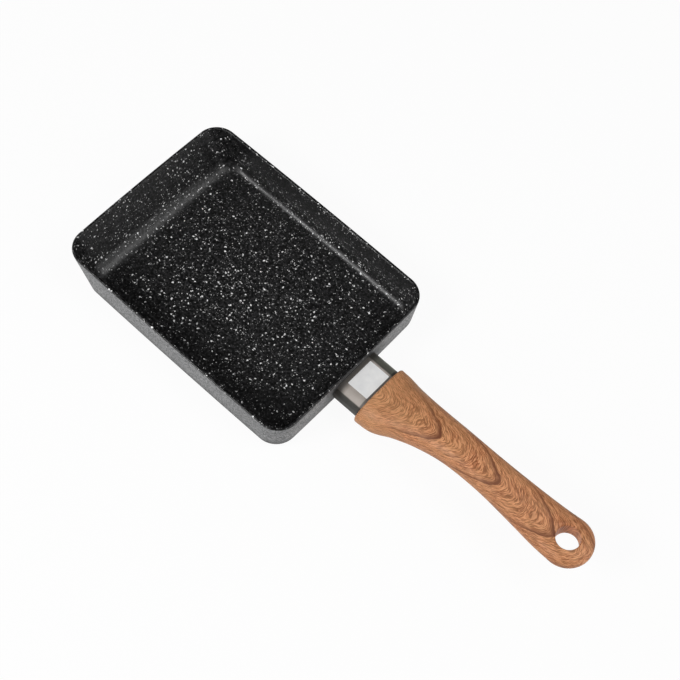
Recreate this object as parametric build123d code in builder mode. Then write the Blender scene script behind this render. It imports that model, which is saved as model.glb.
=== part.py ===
from build123d import *

import os
from math import atan2, cos, degrees, hypot, pi, sin

# A rectangular omelette pan with a moulded, wood-look handle.
# Millimetres. The pan stands on z = 0 with its base centred on the origin.
# The handle points along +X.

# Basin, outside sizes
rim_length = 180.9
rim_width = 134.0
pan_height = 31.0
corner_radius = 14.0
far_lean = 16.0
near_lean = 1.5
side_lean = 1.4
base_edge = 8.0
wall = 2.1
floor_thickness = 2.8
floor_edge = 7.0
rim_round = 0.7

# Steel plate pressed into the underside
plate_length = 130.0
plate_width = 100.0
plate_corner = 9.0
plate_thickness = 0.6
dot_diameter = 6.0
dot_pitch = 20.0
dot_columns = 6
dot_rows = 4

# Flame guard, a flattened tube between the basin and the handle
guard_width = 36.6
guard_height = 18.0
guard_corner = 7.5
guard_wall = 1.2
guard_middle = 16.5
guard_shown = 18.7
guard_inserted = 6.0
guard_clearance = 0.15

# Lug, welded to the basin's wall inside the guard
pad_width = 28.0
pad_height = 12.0
pad_thickness = 3.0
pad_corner = 3.0
tongue_width = 18.0
tongue_thickness = 6.0
tongue_raise = 2.0
tongue_inserted = 24.0
tongue_end_corner = 4.0
tongue_clearance = 0.3

# Handle
grip_length = 139.4
grip_rise = 18.6
mouth_width = 42.6
mouth_thickness = 23.5
mouth_round = 1.5
waist_width = 23.2
waist_thickness = 17.0
tail_width = 31.4
tail_thickness = 13.2
tail_lift_angle = 6.0
hang_hole_diameter = 14.5
hang_hole_flare = 1.2
hang_hole_round = 3.0

# The grip's oval sections: 0.55 would be an ellipse, more is squarer
oval_fullness = 0.69

# Steps of the lip's rounding
round_steps = 3

# Each row: place along the grip, rise of its middle, and how much of the
# mouth's and of the tail's extra size is left there
grip_shares = (
    (0.00, 0.00, 1.00, 0.00),
    (0.07, 0.05, 0.93, 0.00),
    (0.16, 0.35, 0.58, 0.00),
    (0.27, 0.67, 0.27, 0.00),
    (0.41, 0.94, 0.06, 0.00),
    (0.59, 1.00, 0.00, 0.04),
    (0.77, 0.93, 0.00, 0.39),
    (0.91, 0.88, 0.00, 0.79),
    (1.00, 0.94, 0.00, 1.00),
)

# Screw and washers, in a recess under the handle's mouth
screw_diameter = 4.0
screw_setback = 13.0
screw_web = 2.7
screw_past_tongue = 1.0
head_diameter = 8.0
head_height = 2.6
head_chamfer = 0.8
cross_width = 4.4
cross_slot = 1.0
cross_depth = 1.4
flat_washer_diameter = 9.0
flat_washer_thickness = 0.8
spring_washer_diameter = 7.4
spring_washer_thickness = 1.1
spring_washer_gap = 0.8
washer_clearance = 0.2
hole_clearance = 0.25
thread_clearance = 0.05
recess_clearance = 0.4

# How far the cutting shapes run past what they cut
overrun = 5.0

# Places that follow from the sizes
base_length = rim_length - far_lean - near_lean
base_width = rim_width - 2 * side_lean
near_wall = base_length / 2 + near_lean * guard_middle / pan_height
wall_core = near_wall - wall / 2
mouth = near_wall + guard_shown
tongue_bottom = guard_middle + tongue_raise - tongue_thickness / 2
screw_x = mouth + screw_setback
screw_seat = tongue_bottom - tongue_clearance - screw_web
washer_face = screw_seat - flat_washer_thickness
head_face = washer_face - spring_washer_thickness
screw_tip = tongue_bottom + tongue_thickness + screw_past_tongue


def basin_view(plane, half_size, back_lean, front_lean, skin, bottom, top):
    """Basin's outline on an upright plane between two heights, with its leaning ends moved in by a skin."""
    corners = []
    for side, lean, height in (
        (-1, back_lean, bottom),
        (1, front_lean, bottom),
        (1, front_lean, top),
        (-1, back_lean, top),
    ):
        slope = lean / pan_height
        corners.append((side * (half_size + slope * height - skin * hypot(slope, 1)), height))
    with BuildSketch(plane) as view:
        with BuildLine():
            Polyline(corners, close=True)
        make_face()
    return view.sketch


def basin_form(skin, bottom, top, edge_round):
    """Outer form of the basin, or with a skin the space inside it."""
    side_view = basin_view(Plane.XZ, base_length / 2, far_lean, near_lean, skin, bottom, top)
    end_view = basin_view(Plane.YZ, base_width / 2, side_lean, side_lean, skin, bottom, top)
    with BuildPart() as form:
        extrude(side_view, amount=rim_width, both=True)
        extrude(end_view, amount=rim_length, both=True, mode=Mode.INTERSECT)
        fillet(form.edges().group_by(Axis.Z)[1], corner_radius - skin)
        fillet(form.faces().sort_by(Axis.Z)[0].edges(), edge_round)
    return form.part


def guard_section(place, growth):
    """Cross-section of the guard at a place, grown on all sides."""
    with BuildSketch(Plane.YZ.offset(place)) as section:
        with Locations((0, guard_middle)):
            RectangleRounded(guard_width + 2 * growth, guard_height + 2 * growth, guard_corner + growth)
    return section.sketch


def grip_stations():
    """Place, height, width and thickness of the grip at each row of shares."""
    stations = []
    for place, rise, mouth_share, tail_share in grip_shares:
        mouth_extra = mouth_share * (mouth_width - waist_width)
        tail_extra = tail_share * (tail_width - waist_width)
        mouth_depth = mouth_share * (mouth_thickness - waist_thickness)
        tail_depth = tail_share * (tail_thickness - waist_thickness)
        stations.append(
            (
                mouth + place * grip_length,
                guard_middle + rise * grip_rise,
                waist_width + mouth_extra + tail_extra,
                waist_thickness + mouth_depth + tail_depth,
            )
        )
    return stations


def grip_angles(stations):
    """Slope of the grip's middle line in degrees: level at the mouth, lifted at the tail."""
    angles = [0.0]
    for before, after in zip(stations, stations[2:]):
        angles.append(degrees(atan2(after[1] - before[1], after[0] - before[0])))
    return angles + [tail_lift_angle]


def grip_plane(place, height, angle):
    """Plane square to the grip's middle line, with its own x along Y and its own y upwards."""
    level = Plane(origin=(place, 0, height), x_dir=(0, 1, 0), z_dir=(1, 0, 0))
    return level.rotated((0, -angle, 0))


def half_oval(width, thickness):
    """Two curves that make one half of an oval section, from its lowest to its highest point."""
    side, top = width / 2, thickness / 2
    side_pull, top_pull = oval_fullness * side, oval_fullness * top
    lower = Bezier((0, -top), (side_pull, -top), (side, -top_pull), (side, 0))
    upper = Bezier((side, 0), (side, top_pull), (side_pull, top), (0, top))
    return lower, upper


def grip_section(plane, width, thickness):
    """Whole oval section of the grip on a plane."""
    with BuildSketch(plane) as section:
        with BuildLine():
            half_oval(width, thickness)
            mirror(about=Plane.YZ)
        make_face()
    return section.sketch


# Steel plate: a flat sheet with rows of punched dots
with BuildPart() as induction_plate:
    with BuildSketch():
        RectangleRounded(plate_length, plate_width, plate_corner)
        with GridLocations(dot_pitch, dot_pitch, dot_columns, dot_rows):
            Circle(dot_diameter / 2, mode=Mode.SUBTRACT)
    extrude(amount=plate_thickness)
induction_plate.part.label = "induction_plate"

# Basin: a pressed tray whose far wall leans out, so that a roll slides over it
outer_form = basin_form(0, 0, pan_height, base_edge)
inner_form = basin_form(wall, floor_thickness, pan_height + overrun, floor_edge)
with BuildPart() as pan_body:
    add(outer_form)
    add(inner_form, mode=Mode.SUBTRACT)
    fillet(pan_body.faces().sort_by(Axis.Z)[-1].edges(), rim_round)
    add(induction_plate.part, mode=Mode.SUBTRACT)
pan_body.part.label = "pan_body"

# Flame guard: its near end is cut to the basin's wall, and its far end sits in the handle
with BuildPart() as flame_guard:
    guard_length = mouth + guard_inserted - wall_core
    extrude(guard_section(wall_core, 0), amount=guard_length)
    extrude(guard_section(wall_core, -guard_wall), amount=guard_length, mode=Mode.SUBTRACT)
    add(pan_body.part, mode=Mode.SUBTRACT)
flame_guard.part.label = "flame_guard"

# Lug: a pad on the wall with a tongue that reaches through the guard into the handle
with BuildPart() as handle_lug:
    with BuildSketch(Plane.YZ.offset(wall_core)):
        with Locations((0, guard_middle)):
            RectangleRounded(pad_width, pad_height, pad_corner)
    extrude(amount=near_wall + pad_thickness - wall_core)
    tongue_length = mouth + tongue_inserted - wall_core
    with BuildSketch(Plane.XY.offset(tongue_bottom)):
        with Locations((wall_core, 0)):
            Rectangle(tongue_length, tongue_width, align=(Align.MIN, Align.CENTER))
    extrude(amount=tongue_thickness)
    fillet(handle_lug.edges().filter_by(Axis.Z).group_by(Axis.X)[-1], tongue_end_corner)
    add(pan_body.part, mode=Mode.SUBTRACT)
    with Locations((screw_x, 0, tongue_bottom)):
        Hole(screw_diameter / 2 + thread_clearance)
handle_lug.part.label = "handle_lug"

# Space inside the handle: the guard's socket, then the tongue's slot
with BuildPart() as socket_space:
    socket_depth = guard_inserted + tongue_clearance
    extrude(guard_section(mouth - overrun, guard_clearance), amount=overrun + socket_depth)
    slot_length = tongue_inserted + tongue_clearance
    slot_width = tongue_width + 2 * tongue_clearance
    with BuildSketch(Plane.XY.offset(tongue_bottom - tongue_clearance)):
        with Locations((mouth, 0)):
            Rectangle(slot_length, slot_width, align=(Align.MIN, Align.CENTER))
    extrude(amount=tongue_thickness + 2 * tongue_clearance)

# Handle: a lofted grip with a round tail
stations = grip_stations()
angles = grip_angles(stations)
tail_plane = grip_plane(*stations[-1][:2], tail_lift_angle)
with BuildPart() as handle:
    loft([grip_section(grip_plane(x, z, angle), w, t) for (x, z, w, t), angle in zip(stations, angles)])
    with BuildSketch(tail_plane):
        with BuildLine():
            lower, upper = half_oval(tail_width, tail_thickness)
            Line(upper @ 1, lower @ 0)
        make_face()
    revolve(axis=Axis(tail_plane.origin, -tail_plane.y_dir), revolution_arc=180)

    # Rounded lip of the mouth, in small steps
    lip_sections = []
    for step in range(round_steps + 1):
        turn = pi / 2 * step / round_steps
        lip_plane = grip_plane(mouth - mouth_round * cos(turn), guard_middle, 0)
        lip_loss = 2 * mouth_round * (1 - sin(turn))
        lip_sections.append(grip_section(lip_plane, mouth_width - lip_loss, mouth_thickness - lip_loss))
    loft(lip_sections, ruled=True)

    # Socket for the guard and slot for the tongue
    add(socket_space.part, mode=Mode.SUBTRACT)

    # Recess and hole for the screw, from below
    with BuildSketch(Plane.XY.offset(screw_seat)):
        with Locations((screw_x, 0)):
            Circle(flat_washer_diameter / 2 + recess_clearance)
    extrude(amount=-mouth_thickness, mode=Mode.SUBTRACT)
    with BuildSketch(Plane.XY.offset(screw_seat)):
        with Locations((screw_x, 0)):
            Circle(screw_diameter / 2 + hole_clearance)
    extrude(amount=screw_tip + recess_clearance - screw_seat, mode=Mode.SUBTRACT)

    # Hanging hole, flared at both ends and square to the tail
    hole_radius = hang_hole_diameter / 2
    flare_start = tail_thickness / 2 - hang_hole_flare
    past_radius = hole_radius + overrun
    past_face = flare_start + overrun
    with BuildSketch(tail_plane) as bore:
        with BuildLine():
            Polyline(
                (0, -past_face),
                (past_radius, -past_face),
                (hole_radius, -flare_start),
                (hole_radius, flare_start),
                (past_radius, past_face),
                (0, past_face),
                close=True,
            )
        make_face()
        fillet(bore.vertices().group_by(Axis.X)[1], hang_hole_round)
    revolve(axis=Axis(tail_plane.origin, tail_plane.y_dir), mode=Mode.SUBTRACT)
handle.part.label = "handle"

# Screw: a round head with a cross recess, and a plain shank up through the tongue
with BuildPart() as handle_screw:
    with BuildSketch(Plane.XY.offset(head_face)):
        with Locations((screw_x, 0)):
            Circle(head_diameter / 2)
    extrude(amount=-head_height)
    chamfer(handle_screw.faces().sort_by(Axis.Z)[0].edges(), head_chamfer)
    with BuildSketch(Plane.XY.offset(head_face - head_height)):
        with Locations((screw_x, 0)):
            Rectangle(cross_width, cross_slot)
            Rectangle(cross_slot, cross_width)
    extrude(amount=cross_depth, mode=Mode.SUBTRACT)
    with BuildSketch(Plane.XY.offset(head_face)):
        with Locations((screw_x, 0)):
            Circle(screw_diameter / 2)
    extrude(amount=screw_tip - head_face)
handle_screw.part.label = "handle_screw"

# Flat washer against the handle
with BuildPart() as flat_washer:
    with BuildSketch(Plane.XY.offset(washer_face)):
        with Locations((screw_x, 0)):
            Circle(flat_washer_diameter / 2)
            Circle(screw_diameter / 2 + washer_clearance, mode=Mode.SUBTRACT)
    extrude(amount=flat_washer_thickness)
flat_washer.part.label = "flat_washer"

# Split spring washer between the flat washer and the head
with BuildPart() as spring_washer:
    with BuildSketch(Plane.XY.offset(head_face)):
        with Locations((screw_x, 0)):
            Circle(spring_washer_diameter / 2)
            Circle(screw_diameter / 2 + washer_clearance, mode=Mode.SUBTRACT)
            Rectangle(
                spring_washer_diameter,
                spring_washer_gap,
                align=(Align.MIN, Align.CENTER),
                mode=Mode.SUBTRACT,
            )
    extrude(amount=spring_washer_thickness)
spring_washer.part.label = "spring_washer"

os.makedirs("parts", exist_ok=True)
export_step(pan_body.part, "parts/pan_body.step")
export_step(induction_plate.part, "parts/induction_plate.step")
export_step(flame_guard.part, "parts/flame_guard.step")
export_step(handle_lug.part, "parts/handle_lug.step")
export_step(handle.part, "parts/handle.step")
export_step(handle_screw.part, "parts/handle_screw.step")
export_step(flat_washer.part, "parts/flat_washer.step")
export_step(spring_washer.part, "parts/spring_washer.step")
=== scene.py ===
# %% [markdown]
# A rectangular omelette pan, dressed for its picture.
# The CAD model brings the true sizes and places of the basin, the flame guard, the lug, the
# handle, its screw and washers, and the steel plate in the underside. This lesson keeps them as
# a frame, makes smoother skins for the basin and the handle, adds the bare foil label, and then
# gives every piece its finish. Everything is in metres, with the handle along +X.

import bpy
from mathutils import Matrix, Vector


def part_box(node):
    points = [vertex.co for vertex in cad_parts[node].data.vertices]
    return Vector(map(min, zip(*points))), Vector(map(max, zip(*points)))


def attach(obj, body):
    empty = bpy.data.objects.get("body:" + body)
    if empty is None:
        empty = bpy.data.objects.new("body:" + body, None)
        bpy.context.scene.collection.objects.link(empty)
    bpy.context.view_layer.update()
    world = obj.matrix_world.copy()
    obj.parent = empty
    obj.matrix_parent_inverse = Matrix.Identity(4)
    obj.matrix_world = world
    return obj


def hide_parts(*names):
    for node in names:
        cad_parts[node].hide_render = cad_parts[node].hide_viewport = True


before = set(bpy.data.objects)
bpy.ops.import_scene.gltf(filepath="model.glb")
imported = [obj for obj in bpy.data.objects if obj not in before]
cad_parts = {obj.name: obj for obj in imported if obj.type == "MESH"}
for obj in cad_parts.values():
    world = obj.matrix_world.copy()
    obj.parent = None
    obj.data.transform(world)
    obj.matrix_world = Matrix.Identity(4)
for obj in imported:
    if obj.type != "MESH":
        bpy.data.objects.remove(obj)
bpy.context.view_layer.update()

# %% Tools of the trade
from math import atan, atan2, cos, hypot, pi, radians, sin

import bmesh
import bpy
from mathutils import Matrix, Vector

scene = bpy.context.scene
mm = 0.001


def make_piece(name, points, faces):
    """A smooth mesh object from points and faces, with its normals turned outwards."""
    mesh = bpy.data.meshes.new(name)
    mesh.from_pydata(points, [], faces)
    form = bmesh.new()
    form.from_mesh(mesh)
    bmesh.ops.remove_doubles(form, verts=form.verts, dist=0.001 * mm)
    bmesh.ops.recalc_face_normals(form, faces=form.faces)
    form.to_mesh(mesh)
    form.free()
    mesh.shade_smooth()
    piece = bpy.data.objects.new(name, mesh)
    scene.collection.objects.link(piece)
    return piece


def skin_rings(rings):
    """Points and faces of a skin over closed rings of equal count, with both ends capped."""
    count = len(rings[0])
    points = [point for ring in rings for point in ring]
    faces = [tuple(reversed(range(count)))]
    for first in range(0, len(points) - count, count):
        for side in range(count):
            after = (side + 1) % count
            below = (first + side, first + after)
            faces.append(below + (first + count + after, first + count + side))
    faces.append(tuple(range(len(points) - count, len(points))))
    return points, faces


# %% [markdown]
# Most outlines of the pan are rectangles with round corners: the basin, the steel plate, the
# guard's socket and the label. One function draws them all. Outlines that are drawn with the same
# steps have the same number of points, so a skin can join them.

# %% Rectangle with round corners
def round_rectangle(half_length, half_width, radius, corner_steps, side_steps):
    """Feet and outward directions, anticlockwise from the middle of the +X side."""
    outline = []
    for quarter in range(4):
        sign_x = (1, -1, -1, 1)[quarter]
        sign_y = (1, 1, -1, -1)[quarter]
        centre = Vector((sign_x * (half_length - radius), sign_y * (half_width - radius)))
        for step in range(corner_steps + 1):
            turn = pi / 2 * (quarter + step / corner_steps)
            outward = Vector((cos(turn), sin(turn)))
            outline.append((centre + radius * outward, outward))
        next_x = (-1, -1, 1, 1)[quarter]
        next_y = (1, -1, -1, 1)[quarter]
        next_centre = Vector((next_x * (half_length - radius), next_y * (half_width - radius)))
        for step in range(1, side_steps):
            foot = centre.lerp(next_centre, step / side_steps) + radius * outward
            outline.append((foot, outward))
    start = side_steps // 2
    return outline[-start:] + outline[:-start]


print("points in a round rectangle", len(round_rectangle(2, 1, 0.2, 12, 6)))

# %% [markdown]
# The basin is one aluminium pressing. Its far wall leans out by a third of a right angle, so that
# a roll slides over it, and the other walls stand almost straight. A box with bevels would make
# the walls too flat and the corners too regular. Here a profile of the wall is worked out for
# every direction round the pan, with that direction's own lean: the rounded base edge, the wall,
# the rolled rim, the inside wall and the fillet to the cooking floor.

# %% Sizes of the basin
base_length = 163.4 * mm
base_width = 131.2 * mm
pan_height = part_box("pan_body")[1].z
far_lean = 16.0 * mm
near_lean = 1.5 * mm
side_lean = 1.4 * mm
corner_radius = 14.0 * mm
wall = 2.1 * mm
floor_height = 2.8 * mm
base_edge = 8.0 * mm
floor_edge = 5.5 * mm
far_floor_edge = 14.0 * mm
rim_round = 0.75 * mm
side_bow = 0.7 * mm
basin_corner_steps = 14
basin_side_steps = 20
base_edge_steps = 10
rim_steps = 6
floor_edge_steps = 12
plate_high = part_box("induction_plate")[1]
plate_corner = 9.0 * mm


def lean_at(foot):
    """How far the wall moves out, along X and along Y, for each unit of height."""
    shares = []
    for value, half, back, front in (
        (foot.x, base_length / 2, far_lean, near_lean),
        (foot.y, base_width / 2, side_lean, side_lean),
    ):
        share = max(-1, min(1, value / (half - corner_radius)))
        shares.append(((1 + share) * front - (1 - share) * back) / 2 / pan_height)
    return Vector(shares)


def turn_about(centre, radius, start, end, steps):
    """Points of an arc in the upright plane of one direction: distance outwards and height."""
    points = []
    for step in range(steps + 1):
        angle = start + (end - start) * step / steps
        points.append((centre[0] + radius * cos(angle), centre[1] + radius * sin(angle)))
    return points


def wall_profile(slope):
    """Profile from the base edge over the rim to the cooking floor, for a wall of one slope."""
    slant, lean = hypot(slope, 1), atan(slope)
    rim_height = pan_height - rim_round
    far_share = max(0, slope) * pan_height / far_lean
    fillet = floor_edge + (far_floor_edge - floor_edge) * far_share
    fillet_height = floor_height + fillet
    edge = (slope * base_edge - base_edge * slant, base_edge)
    outer_rim = (slope * rim_height - rim_round * slant, rim_height)
    inner_rim = (slope * rim_height - (wall - rim_round) * slant, rim_height)
    inner_edge = (slope * fillet_height - (wall + fillet) * slant, fillet_height)
    outside = turn_about(edge, base_edge, -pi / 2, -lean, base_edge_steps)
    rim = turn_about(outer_rim, rim_round, -lean, pi / 2, rim_steps)
    rim += turn_about(inner_rim, rim_round, pi / 2, pi - lean, rim_steps)
    inside = turn_about(inner_edge, fillet, -lean, -pi / 2, floor_edge_steps)
    return outside, rim, inside


# %% Skin of the basin
def bowed(point):
    """A sheet wall springs out a little between its corners."""
    across = 1 - side_bow / (base_length / 2) * (point.y / (base_width / 2)) ** 2
    along = 1 - side_bow / (base_width / 2) * (point.x / (base_length / 2 + far_lean / 2)) ** 2
    return Vector((point.x * across, point.y * along, point.z))


def make_basin():
    """The basin's skin; later, slot 0 gets the black coat inside and slot 1 the grey coat outside.
    """
    steps = (basin_corner_steps, basin_side_steps)
    feet = round_rectangle(base_length / 2, base_width / 2, corner_radius, *steps)
    columns = []
    for foot, outward in feet:
        lean = lean_at(foot)
        slope = lean.dot(outward)
        outside, rim, inside = wall_profile(slope)
        columns.append([])
        for distance, height in outside + rim + inside:
            place = foot + lean * height + outward * (distance - slope * height)
            columns[-1].append(bowed(Vector((*place, height))))
    rings = [list(ring) for ring in zip(*columns)]
    plate = round_rectangle(plate_high.x, plate_high.y, plate_corner, *steps)
    pocket = [[Vector((*foot, height)) for foot, outward in plate] for height in (plate_high.z, 0)]
    floor_rings = []
    for share in (0.8, 0.5, 0.2):
        floor_rings.append([Vector((p.x * share, p.y * share, p.z)) for p in rings[-1]])
    points, faces = skin_rings(pocket + rings + floor_rings)
    basin = make_piece("coated_basin", points, faces)
    basin.data.set_sharp_from_angle(angle=radians(50))
    return basin


basin = make_basin()
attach(basin, "root")
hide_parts("pan_body")
print("basin", len(basin.data.polygons), "faces,", tuple(basin.dimensions))

# %% [markdown]
# The steel plate in the underside is a CAD node and stays. It is punched with dots, and the soft
# aluminium of the basin is pressed up through them until both are flush. The basin's own skin has
# a plain pocket there, so small flat pegs fill the dots.

# %% Pegs in the plate's dots
dot_pitch = 20.0 * mm
dot_columns = 6
dot_rows = 4
peg_radius = 2.98 * mm
peg_round = 0.06 * mm
peg_steps = 32


def turned(profile, steps=64, middle=(0, 0)):
    """Rings of a turned shape: each entry of the profile is a radius and a height."""
    rings = []
    for radius, height in profile:
        ring = []
        for step in range(steps):
            turn = 2 * pi * step / steps
            place = (middle[0] + radius * cos(turn), middle[1] + radius * sin(turn), height)
            ring.append(Vector(place))
        rings.append(ring)
    return rings


def make_pegs():
    """Flat pegs, one in each dot of the plate."""
    profile = ((peg_radius, plate_high.z), (peg_radius, peg_round), (peg_radius - peg_round, 0))
    points, faces = [], []
    for column in range(dot_columns):
        for row in range(dot_rows):
            middle_x = (column - (dot_columns - 1) / 2) * dot_pitch
            middle_y = (row - (dot_rows - 1) / 2) * dot_pitch
            rings = turned(profile, peg_steps, (middle_x, middle_y))
            peg_points, peg_faces = skin_rings(rings)
            faces += [tuple(index + len(points) for index in face) for face in peg_faces]
            points += peg_points
    pegs = make_piece("pressed_pegs", points, faces)
    pegs.data.set_sharp_from_angle(angle=radians(30))
    return pegs


pegs = make_pegs()
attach(pegs, "root")
print("pegs", dot_columns * dot_rows)

# %% [markdown]
# The handle is a hot-moulded resin grip that arches up from the pan. Its sections are fat ovals,
# a little squarer than an ellipse. A few rows of shares say how high, wide and thick the grip is at
# places along it, and a curve through the rows gives as many smooth sections as the skin needs. The
# lip of the mouth stands back a little from the basin, most at its top.

# %% Sizes of the handle
mouth = 101.2 * mm
guard_middle = 16.5 * mm
grip_length = 139.4 * mm
grip_rise = 18.6 * mm
mouth_width = 42.6 * mm
mouth_thickness = 23.5 * mm
mouth_round = 1.5 * mm
mouth_lean = 1.2 * mm
mouth_set_back = 1.3 * mm
mouth_fade = 0.16
waist_width = 23.2 * mm
waist_thickness = 17.0 * mm
tail_width = 31.3 * mm
tail_thickness = 13.2 * mm
tail_lift = radians(6)
oval_power = 2.5
ring_points = 72
lip_steps = 5
body_steps = 90
tail_steps = 28

# Place along the grip, rise, share of the mouth's extra size, share of the tail's
grip_rows = (
    (0.00, 0.00, 1.00, 0.00),
    (0.07, 0.05, 0.93, 0.00),
    (0.16, 0.35, 0.58, 0.00),
    (0.27, 0.67, 0.27, 0.00),
    (0.41, 0.94, 0.06, 0.00),
    (0.59, 1.00, 0.00, 0.04),
    (0.77, 0.93, 0.00, 0.39),
    (0.91, 0.88, 0.00, 0.79),
    (1.00, 0.94, 0.00, 1.00),
)


def row_slope(row, column):
    """Slope of one column at a row, from the rows beside it."""
    before = grip_rows[max(row - 1, 0)]
    after = grip_rows[min(row + 1, len(grip_rows) - 1)]
    return (after[column] - before[column]) / (after[0] - before[0])


def read_rows(share, column):
    """Smooth value of one column at a share of the grip's length."""
    row = max(i for i in range(len(grip_rows) - 1) if grip_rows[i][0] <= max(share, 0))
    start, end = grip_rows[row], grip_rows[row + 1]
    span = end[0] - start[0]
    t = (share - start[0]) / span
    rising = row_slope(row, column) * span * (t - 2 * t**2 + t**3)
    falling = row_slope(row + 1, column) * span * (t**3 - t**2)
    ease = 3 * t**2 - 2 * t**3
    return start[column] * (1 - ease) + end[column] * ease + rising + falling


def grip_at(share):
    """Middle height, half width and half thickness of the grip at a share of its length."""
    rise, at_mouth, at_tail = (read_rows(share, column) for column in (1, 2, 3))
    width = waist_width + at_mouth * (mouth_width - waist_width)
    width += at_tail * (tail_width - waist_width)
    thickness = waist_thickness + at_mouth * (mouth_thickness - waist_thickness)
    thickness += at_tail * (tail_thickness - waist_thickness)
    return guard_middle + rise * grip_rise, width / 2, thickness / 2


print("waist of the grip in mm", [round(size / mm, 1) for size in grip_at(0.5)])


# %% Skin of the handle
def oval(half_width, half_thickness):
    """Points of a section, sideways and up, anticlockwise from the +Y side."""
    points = []
    for step in range(ring_points):
        turn = 2 * pi * step / ring_points
        side = abs(cos(turn)) ** (2 / oval_power) * half_width
        up = abs(sin(turn)) ** (2 / oval_power) * half_thickness
        points.append((side if cos(turn) > 0 else -side, up if sin(turn) > 0 else -up))
    return points


def place_section(section, share, x, height, lift):
    """A section square to the grip's middle line, set back near the mouth, most at its top."""
    fade = max(0, 1 - share / mouth_fade)
    points = []
    for side, up in section:
        back = fade * (mouth_set_back + mouth_lean * max(0, up) / (mouth_thickness / 2))
        points.append(Vector((x - up * sin(lift) + back, side, height + up * cos(lift))))
    return points


def make_grip():
    """Skin of the grip: rounded lip and arched body, open at the tail end and still without holes.
    """
    rings = []
    for step in range(lip_steps):
        turn = pi / 2 * step / lip_steps
        loss = mouth_round * (1 - sin(turn))
        section = oval(mouth_width / 2 - loss, mouth_thickness / 2 - loss)
        rings.append(place_section(section, 0, mouth - mouth_round * cos(turn), guard_middle, 0))
    for step in range(body_steps + 1):
        share = step / body_steps
        height, half_width, half_thickness = grip_at(share)
        ahead, behind = min(share + 0.01, 1), max(share - 0.01, 0)
        climb = grip_at(ahead)[0] - grip_at(behind)[0]
        lift = atan2(climb, (ahead - behind) * grip_length)
        if step == 0:
            lift = 0
        if step == body_steps:
            lift = tail_lift
        section = oval(half_width, half_thickness)
        rings.append(place_section(section, share, mouth + share * grip_length, height, lift))
    points, faces = skin_rings(rings)
    faces.pop()
    return points, faces


def add_tail(points, faces):
    """Turns the last section's half outline about its middle, for a round tail."""
    height, half_width, half_thickness = grip_at(1)
    section = oval(half_width, half_thickness)
    quarter = ring_points // 4
    order = range(-quarter, quarter + 1)
    columns = []
    for step in range(tail_steps + 1):
        angle = pi * step / tail_steps
        column = []
        for index in order:
            side, up = section[index]
            side = max(side, 0)
            local = Vector((side * sin(angle), side * cos(angle), up))
            tilted = Matrix.Rotation(-tail_lift, 3, "Y") @ local
            column.append(tilted + Vector((mouth + grip_length, 0, height)))
        columns.append(column)
    first = len(points)
    count = len(order)
    for column in columns:
        points += column
    for step in range(tail_steps):
        for row in range(count - 1):
            corner = first + step * count + row
            faces.append((corner, corner + 1, corner + count + 1, corner + count))
    return points, faces


grip_points, grip_faces = add_tail(*make_grip())
grip = make_piece("wood_look_grip", grip_points, grip_faces)
print("grip", len(grip.data.polygons), "faces before its holes are cut")

# %% [markdown]
# The real mould has cores for the guard's socket, the tongue's slot, the screw's recess and the
# hanging hole. Boolean cutters do the same job here: each is made in the core's shape, cut out once
# and thrown away. The hanging hole's cutter swells at both ends, which leaves soft lips.

# %% Cutters for the grip's holes
screw_x = mouth + 13.0 * mm
screw_seat = 12.5 * mm
recess_radius = 4.9 * mm
recess_reach = 10.0 * mm
screw_hole_radius = 2.25 * mm
screw_hole_reach = 10.4 * mm
hole_radius = 7.25 * mm
hole_lip = 1.8 * mm
hole_lip_turn = radians(70)
hole_lip_steps = 8


def hole_profile():
    """Straight wall in the middle, swelling outwards above and below the tail's faces."""
    straight = tail_thickness / 2 - hole_lip
    upper = []
    for step in range(hole_lip_steps + 1):
        turn = hole_lip_turn * step / hole_lip_steps
        upper.append((hole_radius + hole_lip * (1 - cos(turn)), straight + hole_lip * sin(turn)))
    upper.append((hole_radius + 2.5 * hole_lip, tail_thickness / 2 + 0.6 * hole_lip))
    lower = [(radius, -height) for radius, height in reversed(upper)]
    return lower + upper


def prism(outline, start, end):
    """Rings of an upright outline at both ends of a run along X."""
    return [[Vector((x, *foot)) for foot, outward in outline] for x in (start, end)]


def cut(piece, rings, place):
    """Cuts a skinned shape out of a piece, then throws the cutter away."""
    moved = [[place @ point for point in ring] for ring in rings]
    cutter = make_piece("cutter", *skin_rings(moved))
    modifier = piece.modifiers.new("cut", "BOOLEAN")
    modifier.operation = "DIFFERENCE"
    modifier.solver = "EXACT"
    modifier.object = cutter
    depsgraph = bpy.context.evaluated_depsgraph_get()
    result = bpy.data.meshes.new_from_object(piece.evaluated_get(depsgraph))
    piece.modifiers.clear()
    piece.data = result
    bpy.data.objects.remove(cutter)


# %% Cut the holes
guard_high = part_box("flame_guard")[1]
lug_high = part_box("handle_lug")[1]
guard_half_height = 9.0 * mm
guard_corner = 7.5 * mm
socket_gap = 0.15 * mm
slot_half_width = 9.3 * mm
slot_half_height = 3.3 * mm
slot_corner = 0.3 * mm
slot_middle = 18.5 * mm
end_gap = 0.3 * mm
cut_start = mouth - 3 * mm

socket_sizes = [size + socket_gap for size in (guard_high.y, guard_half_height, guard_corner)]
socket_outline = round_rectangle(*socket_sizes, 12, 6)
slot_outline = round_rectangle(slot_half_width, slot_half_height, slot_corner, 3, 2)
screw_profile = (
    (recess_radius, -recess_reach),
    (recess_radius, 0),
    (screw_hole_radius, 0),
    (screw_hole_radius, screw_hole_reach),
)
guard_socket = prism(socket_outline, cut_start, guard_high.x + end_gap)
tongue_slot = prism(slot_outline, cut_start, lug_high.x + end_gap)
tail_middle = Matrix.Translation((mouth + grip_length, 0, grip_at(1)[0]))

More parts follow.
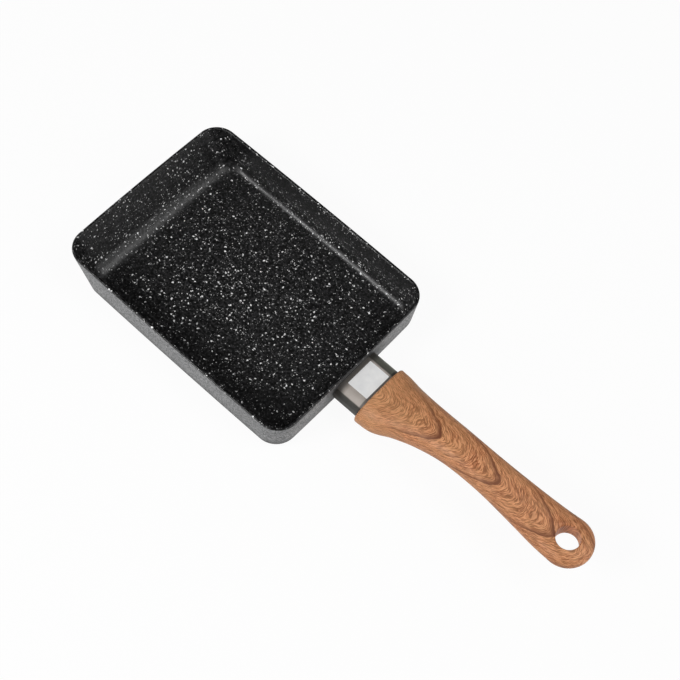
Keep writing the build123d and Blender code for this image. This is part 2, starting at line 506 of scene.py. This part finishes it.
cut(grip, turned(hole_profile()), tail_middle @ Matrix.Rotation(-tail_lift, 4, "Y"))
cut(grip, turned(screw_profile), Matrix.Translation((screw_x, 0, screw_seat)))
cut(grip, guard_socket, Matrix.Translation((0, 0, guard_middle)))
cut(grip, tongue_slot, Matrix.Translation((0, 0, slot_middle)))
grip.data.set_sharp_from_angle(angle=radians(38))
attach(grip, "root")
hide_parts("handle")
print("grip", len(grip.data.polygons), "faces,", tuple(grip.dimensions))

# %% [markdown]
# The grain print was wrapped on the grip as a film, so its lines follow the grip and not the
# room. Each point of the skin keeps its place on the flat film: how far along the grip it is, and
# how far round from the ridge on top.

# %% Place of each point on the film
def film_place(point):
    """Distance along the grip from its mouth, round it from its top line, and down."""
    share = max(0, min(1, (point.x - mouth) / grip_length))
    height, half_width, half_thickness = grip_at(share)
    height += max(0, point.x - mouth - grip_length) * sin(tail_lift)
    drop = max(0, min(2, 1 - (point.z - height) / half_thickness)) * half_thickness
    side = -1 if point.y < 0 else 1
    return (point.x - mouth, point.y + side * drop * abs(point.y) / half_width, drop)


film = grip.data.attributes.new("film", "FLOAT_VECTOR", "POINT")
film_places = [film_place(vertex.co) for vertex in grip.data.vertices]
film.data.foreach_set("vector", [value for film_spot in film_places for value in film_spot])
print("film reaches", round(max(spot[0] for spot in film_places) / mm), "mm along the grip")

# %% [markdown]
# The bare foil label lies on the guard's flat top. It is thinner than a hair, so it is one sheet
# with faint ripples, given just enough thickness to have an edge.

# %% Foil label
foil_start, foil_end = 85.6 * mm, 100.4 * mm
foil_left, foil_right = -10.2 * mm, 9.9 * mm
foil_corner = 0.5 * mm
foil_thickness = 0.08 * mm


def make_foil():
    """Thin rippled sheet on the guard, with small round corners."""
    half_length, half_width = (foil_end - foil_start) / 2, (foil_right - foil_left) / 2
    middle = Vector(((foil_start + foil_end) / 2, (foil_left + foil_right) / 2))
    outline = round_rectangle(half_length, half_width, foil_corner, 4, 12)
    rings = []
    for share, lift in ((0.2, 0), (0.6, 0), (1, 0), (1, 1), (0.6, 1), (0.2, 1)):
        ring = []
        for foot, outward in outline:
            ripple = 0.5 + 0.5 * sin(900 * foot.x + 500 * foot.y * share)
            height = guard_high.z + lift * foil_thickness * (0.7 + 0.3 * ripple)
            ring.append(Vector((*(middle + foot * share), height)))
        rings.append(ring)
    return make_piece("foil_label", *skin_rings(rings))


foil = make_foil()
foil.data.set_sharp_from_angle(angle=radians(40))
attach(foil, "root")
print("foil", tuple(round(size / mm, 2) for size in foil.dimensions), "mm")

# %% [markdown]
# Finishes are made of nodes. A few short helpers keep the cells readable: one adds a node with its
# settings and inputs, the next ones do the sums that come back most often, and others start and
# place groups and start a material with the constants of its shader.

# %% Helpers for finishes
def add_node(tree, kind, inputs=None, **settings):
    """Adds a node. Each input is a socket to link or a plain value."""
    made = tree.nodes.new(kind)
    for name, value in settings.items():
        setattr(made, name, value)
    for name, value in (inputs or {}).items():
        if isinstance(value, bpy.types.NodeSocket):
            tree.links.new(value, made.inputs[name])
        else:
            made.inputs[name].default_value = value
    return made


def calculate(tree, operation, *values, clamp=False):
    """One sum on numbers; gives back its output."""
    inputs = dict(enumerate(values))
    made = add_node(tree, "ShaderNodeMath", inputs, operation=operation, use_clamp=clamp)
    return made.outputs[0]


def calculate_vector(tree, operation, first, second):
    """One sum on vectors; gives back its output. A scale takes a number as its second value."""
    inputs = {0: first, "Scale" if operation == "SCALE" else 1: second}
    made = add_node(tree, "ShaderNodeVectorMath", inputs, operation=operation)
    return made.outputs["Value" if operation in ("DISTANCE", "DOT_PRODUCT") else "Vector"]


def make_noise(tree, place, scale, detail=1.0):
    """Soft noise; gives back its outputs."""
    inputs = {"Vector": place, "Scale": scale, "Detail": detail}
    return add_node(tree, "ShaderNodeTexNoise", inputs).outputs


def blend_colours(tree, share, first, second):
    """Goes from the first colour to the second by a share; gives back its output."""
    made = add_node(tree, "ShaderNodeMix", data_type="RGBA")
    wanted_sockets = (("Factor", "VALUE", share), ("A", "RGBA", first), ("B", "RGBA", second))
    for name, kind, value in wanted_sockets:
        socket = next(s for s in made.inputs if s.name == name and s.type == kind)
        if isinstance(value, bpy.types.NodeSocket):
            tree.links.new(value, socket)
        else:
            socket.default_value = value if kind == "VALUE" else (*value, 1)
    return next(s for s in made.outputs if s.type == "RGBA")


def stretch(tree, value, low, high, to_low=0.0, to_high=1.0):
    """Carries a value from one range to another and holds it there."""
    inputs = {"Value": value, "From Min": low, "From Max": high}
    inputs |= {"To Min": to_low, "To Max": to_high}
    return add_node(tree, "ShaderNodeMapRange", inputs).outputs["Result"]


def start_group(name, inputs, outputs):
    """A named group with its sockets, and its two ends. A number makes a plain input."""
    group = bpy.data.node_groups.new(name, "ShaderNodeTree")
    for label, value in inputs.items():
        kind = "NodeSocketFloat" if isinstance(value, float) else "NodeSocketVector"
        socket = group.interface.new_socket(label, in_out="INPUT", socket_type=kind)
        if value is not None:
            socket.default_value = value
    for label in outputs:
        group.interface.new_socket(label, in_out="OUTPUT", socket_type="NodeSocketFloat")
    start, end = group.nodes.new("NodeGroupInput"), group.nodes.new("NodeGroupOutput")
    return group, start.outputs, end.inputs


def use_group(tree, group, **inputs):
    """Places a group in a material; gives back its outputs."""
    named = {name.replace("_", " "): value for name, value in inputs.items()}
    return add_node(tree, "ShaderNodeGroup", named, node_tree=bpy.data.node_groups[group]).outputs


def start_material(name, **constants):
    """A material with these constants on its shader, given back with its nodes and place."""
    material = bpy.data.materials.new(name)
    material.use_nodes = True
    tree = material.node_tree
    shader = tree.nodes["Principled BSDF"]
    for socket, value in constants.items():
        shader.inputs[socket.replace("_", " ")].default_value = value
    place = add_node(tree, "ShaderNodeTexCoord").outputs["Object"]
    return material, tree, shader, place


def dress(piece, *materials):
    """Gives a piece its materials, in the order of its slots."""
    for index, material in enumerate(materials):
        if index < len(piece.material_slots):
            piece.material_slots[index].material = material
        else:
            piece.data.materials.append(material)


# %% [markdown]
# Stone specks are the sign of this coat: tiny chips of light resin sprayed into the dark one. A
# cell pattern gives every chip a place, and each chip takes its own size, its own shade and a
# ragged edge. The group is placed several times with other spacings, for dust, chips and flakes.

# %% Group: stone specks
specks, given, wanted = start_group(
    "stone specks",
    {"Place": None, "Spacing": 0.002, "Shown": 0.5, "Size": 0.3},
    ("Mask", "Shade"),
)
per_metre = calculate(specks, "DIVIDE", 1.0, given["Spacing"])
ragged_scale = calculate(specks, "MULTIPLY", per_metre, 1.7)
ragged = make_noise(specks, given["Place"], ragged_scale)["Color"]
ragged = calculate_vector(specks, "SUBTRACT", ragged, (0.5, 0.5, 0.5))
reach = calculate(specks, "MULTIPLY", given["Spacing"], 0.9)
ragged = calculate_vector(specks, "SCALE", ragged, reach)
moved = calculate_vector(specks, "ADD", given["Place"], ragged)
cells = add_node(specks, "ShaderNodeTexVoronoi", {"Vector": moved, "Scale": per_metre}).outputs
lots = add_node(specks, "ShaderNodeSeparateColor", {0: cells["Color"]}).outputs
own_size = calculate(specks, "MULTIPLY_ADD", lots[0], 0.7, 0.3)
outer = calculate(specks, "MULTIPLY", given["Size"], own_size)
inner = calculate(specks, "MULTIPLY", outer, 0.8)
chip = stretch(specks, cells["Distance"], outer, inner)
shown = calculate(specks, "LESS_THAN", lots[1], given["Shown"])
specks.links.new(calculate(specks, "MULTIPLY", chip, shown), wanted["Mask"])
specks.links.new(lots[2], wanted["Shade"])
print("group", specks.name)

# %% [markdown]
# No factory finish is the same all over. Slow drift in tone and gloss keeps a surface from looking
# like plastic film, and a fine relief breaks up its highlights. Nearly every material wants both.

# %% Groups: slow drift and fine relief
drift, given, wanted = start_group(
    "slow drift",
    {"Place": None, "Spread": 0.03, "Low": 0.0, "High": 1.0},
    ("Value",),
)
scale = calculate(drift, "DIVIDE", 1.0, given["Spread"])
clouds = make_noise(drift, given["Place"], scale, 3.0)["Fac"]
clouds = stretch(drift, clouds, 0.3, 0.7, given["Low"], given["High"])
drift.links.new(clouds, wanted["Value"])

relief, given, wanted = start_group(
    "fine relief",
    {"Place": None, "Grain": 0.0006, "Stretch": (1, 1, 1)},
    ("Height",),
)
scale = calculate(relief, "DIVIDE", 1.0, given["Grain"])
pulled = calculate_vector(relief, "MULTIPLY", given["Place"], given["Stretch"])
relief.links.new(make_noise(relief, pulled, scale, 2.0)["Fac"], wanted["Height"])
print("groups", drift.name, "and", relief.name)

# %% [markdown]
# Edges wear first. Where the true corner and a slightly rounded one differ, the surface turns, and
# the group's mask is high there. The guard, the plate and the fasteners use it.

# %% Group: rubbed edges
rubbed, given, wanted = start_group("rubbed edges", {"Place": None, "Width": 0.0005}, ("Mask",))
softened = add_node(rubbed, "ShaderNodeBevel", {"Radius": given["Width"]}, samples=6).outputs[0]
facing = add_node(rubbed, "ShaderNodeNewGeometry").outputs["Normal"]
bare = stretch(rubbed, calculate_vector(rubbed, "DOT_PRODUCT", softened, facing), 1.0, 0.85)
patchy = make_noise(rubbed, given["Place"], 700.0, 3.0)["Fac"]
bare = calculate(rubbed, "MULTIPLY", bare, stretch(rubbed, patchy, 0.35, 0.6))
rubbed.links.new(bare, wanted["Mask"])
print("group", rubbed.name)

# %% [markdown]
# Painted shade darkens nooks, above all between the wall and the guard. The group measures how far
# nearby surfaces close a point in, and its mask is high in such nooks.

# %% Group: painted shade in nooks
nooks, given, wanted = start_group("painted shade in nooks", {"Reach": 0.006}, ("Mask",))
sky = add_node(nooks, "ShaderNodeAmbientOcclusion", {"Distance": given["Reach"]}, samples=8)
nooks.links.new(stretch(nooks, sky.outputs["AO"], 0.96, 0.72), wanted["Mask"])
print("group", nooks.name)


# %% Relief on a material's normal
def add_relief(tree, shader, height, depth, strength=1.0):
    """Lets a height stand out by a depth in metres."""
    inputs = {"Strength": strength, "Distance": depth, "Height": height}
    bump = add_node(tree, "ShaderNodeBump", inputs)
    tree.links.new(bump.outputs["Normal"], shader.inputs["Normal"])


# %% [markdown]
# The black coat inside is a fluoropolymer, so it reflects little. Its tone is nearly black, with
# three crowds of specks: grey dust, light chips, and a few white flakes. They were sprayed from
# above the middle of the floor, so they stand closer there than on the walls.

# %% Black stone coat
spray_middle = (-4 * mm, 12 * mm, 0)
spray_thick, spray_thin = 30 * mm, 85 * mm

black_coat, tree, shader, place = start_material("black stone coat", Specular_IOR_Level=0.42)
mottle = make_noise(tree, place, 1 / (1.5 * mm))["Fac"]
mottle = calculate(tree, "POWER", stretch(tree, mottle, 0.38, 0.66), 1.6)
night = blend_colours(tree, mottle, (0.0002, 0.0002, 0.0002), (0.030, 0.030, 0.031))
from_middle = calculate_vector(tree, "DISTANCE", place, spray_middle)
spray = stretch(tree, from_middle, spray_thick, spray_thin, 1.0, 0.52)
for spacing, seen, size, dim, bright in (
    (0.90 * mm, 0.54, 0.38, 0.01, 0.30),
    (1.27 * mm, 0.68, 0.40, 0.04, 1.00),
    (2.4 * mm, 0.66, 0.29, 0.95, 1.00),
):
    shown = calculate(tree, "MULTIPLY", spray, seen)
    crowd = use_group(tree, "stone specks", Place=place, Spacing=spacing, Shown=shown, Size=size)
    shade = stretch(tree, calculate(tree, "POWER", crowd["Shade"], 1.15), 0.0, 1.0, dim, bright)
    greys = {0: shade, 1: shade, 2: shade}
    chip_colour = add_node(tree, "ShaderNodeCombineColor", greys).outputs[0]
    night = blend_colours(tree, crowd["Mask"], night, chip_colour)
tree.links.new(night, shader.inputs["Base Color"])
gloss = use_group(tree, "slow drift", Place=place, Spread=0.012, Low=0.32, High=0.41)["Value"]
tree.links.new(gloss, shader.inputs["Roughness"])
orange_peel = use_group(tree, "fine relief", Place=place, Grain=0.0011)["Height"]
add_relief(tree, shader, orange_peel, 0.04 * mm)

# %% [markdown]
# The grey coat outside is a heat-proof paint with a fine mica speckle. Its specks are so small
# that they read as grain from a metre away.

# %% Grey speckled coat
grey_coat, tree, shader, place = start_material("grey speckled coat", Specular_IOR_Level=0.35)
grain = stretch(tree, make_noise(tree, place, 1 / (1.3 * mm))["Fac"], 0.35, 0.68)
paint = blend_colours(tree, grain, (0.095, 0.096, 0.098), (0.318, 0.319, 0.322))
for spacing, seen, size, tone in (
    (1.1 * mm, 0.45, 0.42, (0.07, 0.07, 0.072)),
    (1.4 * mm, 0.50, 0.40, (0.50, 0.50, 0.505)),
    (2.6 * mm, 0.35, 0.26, (0.75, 0.75, 0.75)),
):
    crowd = use_group(tree, "stone specks", Place=place, Spacing=spacing, Shown=seen, Size=size)
    strength = stretch(tree, crowd["Shade"], 0.0, 1.0, 0.25, 0.9)
    strength = calculate(tree, "MULTIPLY", crowd["Mask"], strength)
    paint = blend_colours(tree, strength, paint, tone)
# Painted shade: the coat darkens in nooks, most between the wall and the guard.
nook_shade = use_group(tree, "painted shade in nooks", Reach=0.014)["Mask"]
paint = blend_colours(tree, calculate(tree, "MULTIPLY", nook_shade, 0.9), paint, (0.025, 0.025, 0.025))
tree.links.new(paint, shader.inputs["Base Color"])
gloss = use_group(tree, "slow drift", Place=place, Spread=0.01, Low=0.48, High=0.60)["Value"]
tree.links.new(gloss, shader.inputs["Roughness"])
orange_peel = use_group(tree, "fine relief", Place=place, Grain=0.0009)["Height"]
add_relief(tree, shader, orange_peel, 0.05 * mm)

# %% Coats on the basin
dress(basin, black_coat, grey_coat)
outline_points = 4 * (basin_corner_steps + basin_side_steps)
pocket_rings = 2
outside_bands = pocket_rings + base_edge_steps + 1
for polygon in basin.data.polygons:
    band = min(polygon.vertices) // outline_points
    polygon.material_index = 1 if band < outside_bands else 0
print("faces with the grey coat", sum(face.material_index for face in basin.data.polygons))

# %% [markdown]
# The wood print shows plain-sawn grain: pointed arches, one inside the other, whose tips point
# towards the tail. Every forty millimetres an arch closes in a dark tip. The lines are drawn on the
# film. An arch coordinate grows along the grip and to both sides, so each line falls back from its
# tip, and soft hills at the eyes bend the lines round. Noise shakes each point first, so that no
# two lines are alike.

# %% Coordinates of the print, in millimetres
arch_period = 41.3
first_tip = 9.2
grain_middle = -4.3
arch_bend = 0.418
eye_before_tip = 20.0
eye_height = 5.0
eye_length = 6.5
eye_width = 4.5

wood, tree, shader, place = start_material("wood-grain print", Specular_IOR_Level=0.3)
film_point = add_node(tree, "ShaderNodeAttribute", attribute_name="film").outputs["Vector"]
film_point = calculate_vector(tree, "SCALE", film_point, 1 / mm)
still_point = film_point
for spread, amount in ((14.0, 4.0), (3.6, 1.3), (1.2, 0.40)):
    push = make_noise(tree, still_point, 1 / spread)["Color"]
    push = calculate_vector(tree, "SUBTRACT", push, (0.5, 0.5, 0.5))
    push = calculate_vector(tree, "SCALE", push, amount)
    film_point = calculate_vector(tree, "ADD", film_point, push)
along, across = add_node(tree, "ShaderNodeSeparateXYZ", {0: film_point}).outputs[:2]
sideways = calculate(tree, "SUBTRACT", across, grain_middle)
squared = calculate(tree, "MULTIPLY", sideways, sideways)
bend = calculate(tree, "POWER", calculate(tree, "ADD", squared, 1.0), 0.75)
arch = calculate(tree, "ADD", along, calculate(tree, "MULTIPLY", bend, arch_bend))
within = calculate(tree, "DIVIDE", calculate(tree, "SUBTRACT", arch, first_tip), arch_period)
within = calculate(tree, "FRACT", within)
from_eye = calculate(tree, "MULTIPLY_ADD", within, arch_period, eye_before_tip - arch_period)
long_part = calculate(tree, "POWER", calculate(tree, "DIVIDE", from_eye, eye_length), 2.0)
wide_part = calculate(tree, "DIVIDE", squared, eye_width**2)
hill = calculate(tree, "MULTIPLY", calculate(tree, "ADD", long_part, wide_part), -1.0)
hill = calculate(tree, "EXPONENT", hill)
growth = calculate(tree, "MULTIPLY_ADD", hill, eye_height, arch)

# %% Lines and colours of the print
tan = (0.665, 0.292, 0.133)
orange = (0.499, 0.180, 0.074)
straw = (0.809, 0.384, 0.188)
brown = (0.214, 0.072, 0.026)
plum = (0.184, 0.063, 0.029)
olive = (0.570, 0.327, 0.152)


def growth_lines(width, length, detail):
    """Noise drawn out along the growth lines: its marks are so wide and so long."""
    pairs = ((growth, width), (across, length), (along, length))
    parts = {index: calculate(tree, "DIVIDE", *pair) for index, pair in enumerate(pairs)}
    spot = add_node(tree, "ShaderNodeCombineXYZ", parts).outputs[0]
    return make_noise(tree, spot, 1.0, detail)["Fac"]


fine_lines = growth_lines(0.60, 3.6, 2.0)
long_lines = growth_lines(1.3, 8.0, 2.0)
broad_lines = growth_lines(3.2, 20.0, 1.0)
print_colour = blend_colours(tree, stretch(tree, broad_lines, 0.35, 0.65), orange, tan)
for lines, none, full, most, colour in (
    (fine_lines, 0.485, 0.42, 0.85, brown),
    (fine_lines, 0.52, 0.58, 0.80, straw),
    (long_lines, 0.43, 0.36, 0.55, brown),
):
    strength = stretch(tree, lines, none, full, 0.0, most)
    print_colour = blend_colours(tree, strength, print_colour, colour)
hue_patches = use_group(tree, "slow drift", Place=place, Spread=0.011, Low=0.0, High=0.25)["Value"]
print_colour = blend_colours(tree, hue_patches, print_colour, olive)
patches = growth_lines(5.0, 11.0, 2.0)
shadow = stretch(tree, within, 0.84, 0.96)
for share in (
    stretch(tree, within, 1.0, 0.985),
    stretch(tree, calculate(tree, "ABSOLUTE", sideways), 18.0, 4.0, 0.65, 1.0),
    stretch(tree, patches, 0.35, 0.55, 0.75, 1.0),
):
    shadow = calculate(tree, "MULTIPLY", shadow, share)
shadow = calculate(tree, "MAXIMUM", shadow, stretch(tree, patches, 0.56, 0.72, 0.0, 0.35))
shadow = calculate(tree, "MULTIPLY", shadow, stretch(tree, along, 12.0, 24.0))
print_colour = blend_colours(tree, shadow, print_colour, plum)
near_mouth = stretch(tree, along, 42.0, 8.0, 0.0, 0.22)
print_colour = blend_colours(tree, near_mouth, print_colour, olive)
tree.links.new(print_colour, shader.inputs["Base Color"])
gloss = use_group(tree, "slow drift", Place=place, Spread=0.01, Low=0.46, High=0.58)["Value"]
tree.links.new(gloss, shader.inputs["Roughness"])
add_relief(tree, shader, fine_lines, 0.06 * mm, 0.6)
dress(grip, wood)
print("print has arches every", arch_period, "mm")

# %% [markdown]
# The guard is a stainless tube that was flattened in a press. Its flats were brushed, a little
# more to the near side, and its round sides kept the darker skin of the drawn tube, so the finish
# changes where the surface turns. The pale flats and dark sides are also painted light and shade.
# On the far side the skin is painted lighter, and painted shade darkens both ends.

# %% Guard steel
brushed_and_lit_tilt = radians(22)

guard_steel, tree, shader, place = start_material("guard steel")
normal = add_node(tree, "ShaderNodeNewGeometry").outputs["Normal"]
# The brushed flats and drawn skin meet here; the light flats and dark sides are also painted light
# and shade.
brushed_and_lit_side = Vector((0, -sin(brushed_and_lit_tilt), cos(brushed_and_lit_tilt)))
towards_brushed_and_lit = calculate_vector(tree, "DOT_PRODUCT", normal, brushed_and_lit_side)
brushed_and_lit_share = stretch(tree, calculate(tree, "ABSOLUTE", towards_brushed_and_lit), 0.88, 0.925)
pull = (0.12, 3.5, 3.5)
brushing = use_group(tree, "fine relief", Place=place, Grain=0.001, Stretch=pull)["Height"]
cloudy = use_group(tree, "slow drift", Place=place, Spread=0.006)["Value"]
skin = blend_colours(tree, cloudy, (0.055, 0.054, 0.050), (0.095, 0.093, 0.085))
# Painted light: the skin on the side facing +Y is painted lighter.
normal_y = add_node(tree, "ShaderNodeSeparateXYZ", {0: normal}).outputs["Y"]
painted_far_light = stretch(tree, normal_y, 0.0, 0.3)
skin = blend_colours(tree, painted_far_light, skin, (0.225, 0.224, 0.190))
flat = blend_colours(tree, cloudy, (0.362, 0.322, 0.290), (0.424, 0.379, 0.343))
metal = blend_colours(tree, brushed_and_lit_share, skin, flat)
# Painted shade: both ends of the guard darken, next to the basin and at the handle's mouth.
along_guard = add_node(tree, "ShaderNodeSeparateXYZ", {0: place}).outputs["X"]
by_basin = stretch(tree, along_guard, 88.5 * mm, 85.2 * mm)
by_mouth = stretch(tree, along_guard, 99.9 * mm, 100.6 * mm)
painted_end_shade = calculate(tree, "MULTIPLY", calculate(tree, "MAXIMUM", by_basin, by_mouth), 0.85)
metal = blend_colours(tree, painted_end_shade, metal, (0.075, 0.068, 0.060))
worn = use_group(tree, "rubbed edges", Place=place, Width=0.0006)["Mask"]
metal = blend_colours(tree, calculate(tree, "MULTIPLY", worn, 0.3), metal, (0.50, 0.48, 0.45))
tree.links.new(metal, shader.inputs["Base Color"])
tree.links.new(stretch(tree, brushed_and_lit_share, 0.0, 1.0, 0.85, 0.10), shader.inputs["Metallic"])
tree.links.new(stretch(tree, brushing, 0.3, 0.7, 0.52, 0.66), shader.inputs["Roughness"])
add_relief(tree, shader, brushing, 0.02 * mm, 0.4)
dress(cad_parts["flame_guard"], guard_steel)

# %% Plate steel
plate_steel, tree, shader, place = start_material("plate steel", Metallic=1.0)
pull = (0.08, 3.0, 1.0)
rolling = use_group(tree, "fine relief", Place=place, Grain=0.0012, Stretch=pull)["Height"]
cloudy = use_group(tree, "slow drift", Place=place, Spread=0.02)["Value"]
metal = blend_colours(tree, cloudy, (0.50, 0.50, 0.49), (0.62, 0.61, 0.60))
worn = use_group(tree, "rubbed edges", Place=place, Width=0.0003)["Mask"]
metal = blend_colours(tree, calculate(tree, "MULTIPLY", worn, 0.6), metal, (0.78, 0.78, 0.77))
tree.links.new(metal, shader.inputs["Base Color"])
tree.links.new(stretch(tree, rolling, 0.3, 0.7, 0.26, 0.42), shader.inputs["Roughness"])
add_relief(tree, shader, rolling, 0.02 * mm, 0.5)
dress(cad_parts["induction_plate"], plate_steel)

# %% [markdown]
# Cast and pressed aluminium is a dull grey, with a sandy skin. The lug shows it inside the guard,
# and the pegs show it in the plate's dots.

# %% Bare aluminium
aluminium, tree, shader, place = start_material("bare aluminium", Metallic=1.0)
cloudy = use_group(tree, "slow drift", Place=place, Spread=0.003)["Value"]
metal = blend_colours(tree, cloudy, (0.30, 0.30, 0.31), (0.42, 0.42, 0.43))
tree.links.new(metal, shader.inputs["Base Color"])
sand = use_group(tree, "fine relief", Place=place, Grain=0.0004)["Height"]
tree.links.new(stretch(tree, sand, 0.3, 0.7, 0.42, 0.62), shader.inputs["Roughness"])
add_relief(tree, shader, sand, 0.03 * mm)
dress(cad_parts["handle_lug"], aluminium)
dress(pegs, aluminium)

# %% Zinc-plated fasteners
zinc, tree, shader, place = start_material("zinc plate", Metallic=1.0)
cloudy = use_group(tree, "slow drift", Place=place, Spread=0.002)["Value"]
metal = blend_colours(tree, cloudy, (0.58, 0.59, 0.60), (0.72, 0.73, 0.74))
worn = use_group(tree, "rubbed edges", Place=place, Width=0.0003)["Mask"]
metal = blend_colours(tree, calculate(tree, "MULTIPLY", worn, 0.7), metal, (0.86, 0.86, 0.86))
tree.links.new(metal, shader.inputs["Base Color"])
scuffs = use_group(tree, "fine relief", Place=place, Grain=0.0005)["Height"]
tree.links.new(stretch(tree, scuffs, 0.3, 0.7, 0.22, 0.40), shader.inputs["Roughness"])
add_relief(tree, shader, scuffs, 0.01 * mm, 0.6)
for node_name in ("handle_screw", "flat_washer", "spring_washer"):
    dress(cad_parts[node_name], zinc)

# %% Foil
foil_finish, tree, shader, place = start_material("bare foil", Metallic=0.1)
cloudy = use_group(tree, "slow drift", Place=place, Spread=0.007)["Value"]
metal = blend_colours(tree, cloudy, (0.82, 0.825, 0.83), (0.95, 0.95, 0.94))
tree.links.new(metal, shader.inputs["Base Color"])
pull = (3.0, 0.3, 1.0)
rolling = use_group(tree, "fine relief", Place=place, Grain=0.0012, Stretch=pull)["Height"]
tree.links.new(stretch(tree, rolling, 0.3, 0.7, 0.30, 0.48), shader.inputs["Roughness"])
add_relief(tree, shader, rolling, 0.03 * mm, 0.6)
dress(foil, foil_finish)
print("materials", len(bpy.data.materials))

# %% [markdown]
# The picture was taken on white, almost without a shadow. The floor shines white to the camera and
# to shiny metal, and mixes in a little plain matt white, on which the pan's shadow stays. From
# below it is clear like glass, so that the pan's underside can be looked at as well.

# %% Floor and surroundings
floor_reach = 3.0
floor_drop = 0.1 * mm


def make_floor():
    """A wide plain sheet that the pan stands on, facing up."""
    signs = ((-1, -1), (1, -1), (1, 1), (-1, 1))
    corners = [(x * floor_reach, y * floor_reach, -floor_drop) for x, y in signs]
    mesh = bpy.data.meshes.new("floor")
    mesh.from_pydata(corners, [], [(0, 1, 2, 3)])
    sheet = bpy.data.objects.new("floor", mesh)
    scene.collection.objects.link(sheet)
    return sheet


floor = make_floor()
paper = bpy.data.materials.new("white paper")
paper.use_nodes = True
tree = paper.node_tree
tree.nodes.remove(tree.nodes["Principled BSDF"])
rays = add_node(tree, "ShaderNodeLightPath").outputs
seen_plainly = calculate(tree, "ADD", rays["Is Camera Ray"], rays["Is Glossy Ray"], clamp=True)
seen_plainly = calculate(tree, "ADD", seen_plainly, rays["Is Transmission Ray"], clamp=True)
matt = add_node(tree, "ShaderNodeBsdfDiffuse", {"Color": (0.85, 0.85, 0.85, 1)})
white = add_node(tree, "ShaderNodeEmission", {"Color": (1.0, 1.0, 1.0, 1), "Strength": 1.0})
glow_share = calculate(tree, "MULTIPLY", seen_plainly, 0.94)
clear = add_node(tree, "ShaderNodeBsdfTransparent")
from_below = add_node(tree, "ShaderNodeNewGeometry").outputs["Backfacing"]
surface = {0: glow_share, 1: matt.outputs[0], 2: white.outputs[0]}
surface = add_node(tree, "ShaderNodeMixShader", surface).outputs[0]
surface = {0: from_below, 1: surface, 2: clear.outputs[0]}
surface = add_node(tree, "ShaderNodeMixShader", surface).outputs[0]
tree.links.new(surface, tree.nodes["Material Output"].inputs["Surface"])
dress(floor, paper)

world = bpy.data.worlds.new("studio")
scene.world = world
world.use_nodes = True
tree = world.node_tree
rays = add_node(tree, "ShaderNodeLightPath").outputs
room = tree.nodes["Background"]
room.inputs["Color"].default_value = (0.98, 0.98, 1.0, 1)
tree.links.new(stretch(tree, rays["Is Camera Ray"], 0.0, 1.0, 0.04, 1.0), room.inputs["Strength"])

# %% [markdown]
# Two soft boxes draw the grey bands that show the fillets of the cooking floor: the lamp in front
# draws the one at the +Y wall, and the lamp high above the handle draws the far wall's. A broad low
# one beyond the handle lights the far wall itself, and two weak ones fill the sides.

# %% Soft boxes
lamp_distance = 1.3


def add_soft_box(name, towards, size, power):
    """A square lamp in a direction from the pan's middle, turned to face it."""
    lamp = bpy.data.lights.new(name, "AREA")
    lamp.shape = "SQUARE"
    lamp.size = size
    lamp.energy = power
    holder = bpy.data.objects.new(name, lamp)
    scene.collection.objects.link(holder)
    direction = Vector(towards).normalized()
    holder.location = direction * lamp_distance
    holder.rotation_mode = "QUATERNION"
    holder.rotation_quaternion = direction.to_track_quat("Z", "Y")


for lamp_row in (
    ("in front", (-0.24, -0.66, 0.70), 0.45, 9.9),
    ("beyond the handle and low", (0.94, 0.25, 0.24), 0.90, 4.6),
    ("high above the handle", (0.52, 0.20, 0.83), 0.60, 5.4),
    ("in front and low", (0.0, -0.93, 0.37), 0.45, 1.6),
    ("beside the far wall", (-0.8, -0.2, 0.56), 0.45, 1.2),
):
    add_soft_box(*lamp_row)
print("lamps", len(bpy.data.lights))

# %% [markdown]
# The camera stands where the photographer's did. Its place was found from the rim's corners: turn,
# height and roll first, then the distance back from the rim's middle and a small slide sideways.

# %% Camera
turn, rise, roll = radians(32.67), radians(63.31), radians(10.57)
camera_distance = 844.1 * mm
slide_right = 56.7 * mm
slide_up = -42.1 * mm
frame_pixels = 680
focal_pixels = 1400.1
rim_middle = Vector(((near_lean - far_lean) / 2, 0, pan_height))

back = Vector((sin(turn) * cos(rise), -cos(turn) * cos(rise), sin(rise)))
level = Vector((cos(turn), sin(turn), 0))
upward = back.cross(level)
right = level * cos(roll) + upward * sin(roll)
up = upward * cos(roll) - level * sin(roll)
camera_data = bpy.data.cameras.new("camera")
camera_data.sensor_width = 36.0
camera_data.lens = focal_pixels / frame_pixels * camera_data.sensor_width
camera = bpy.data.objects.new("camera", camera_data)
scene.collection.objects.link(camera)
camera.rotation_mode = "QUATERNION"
camera.rotation_quaternion = Matrix((right, up, back)).transposed().to_quaternion()
camera.location = rim_middle + right * slide_right + up * slide_up + back * camera_distance
camera_data.clip_start = 0.05
camera_data.clip_end = 20.0
scene.camera = camera
scene.view_settings.view_transform = "Standard"
print("camera at", tuple(round(value, 3) for value in camera.location))
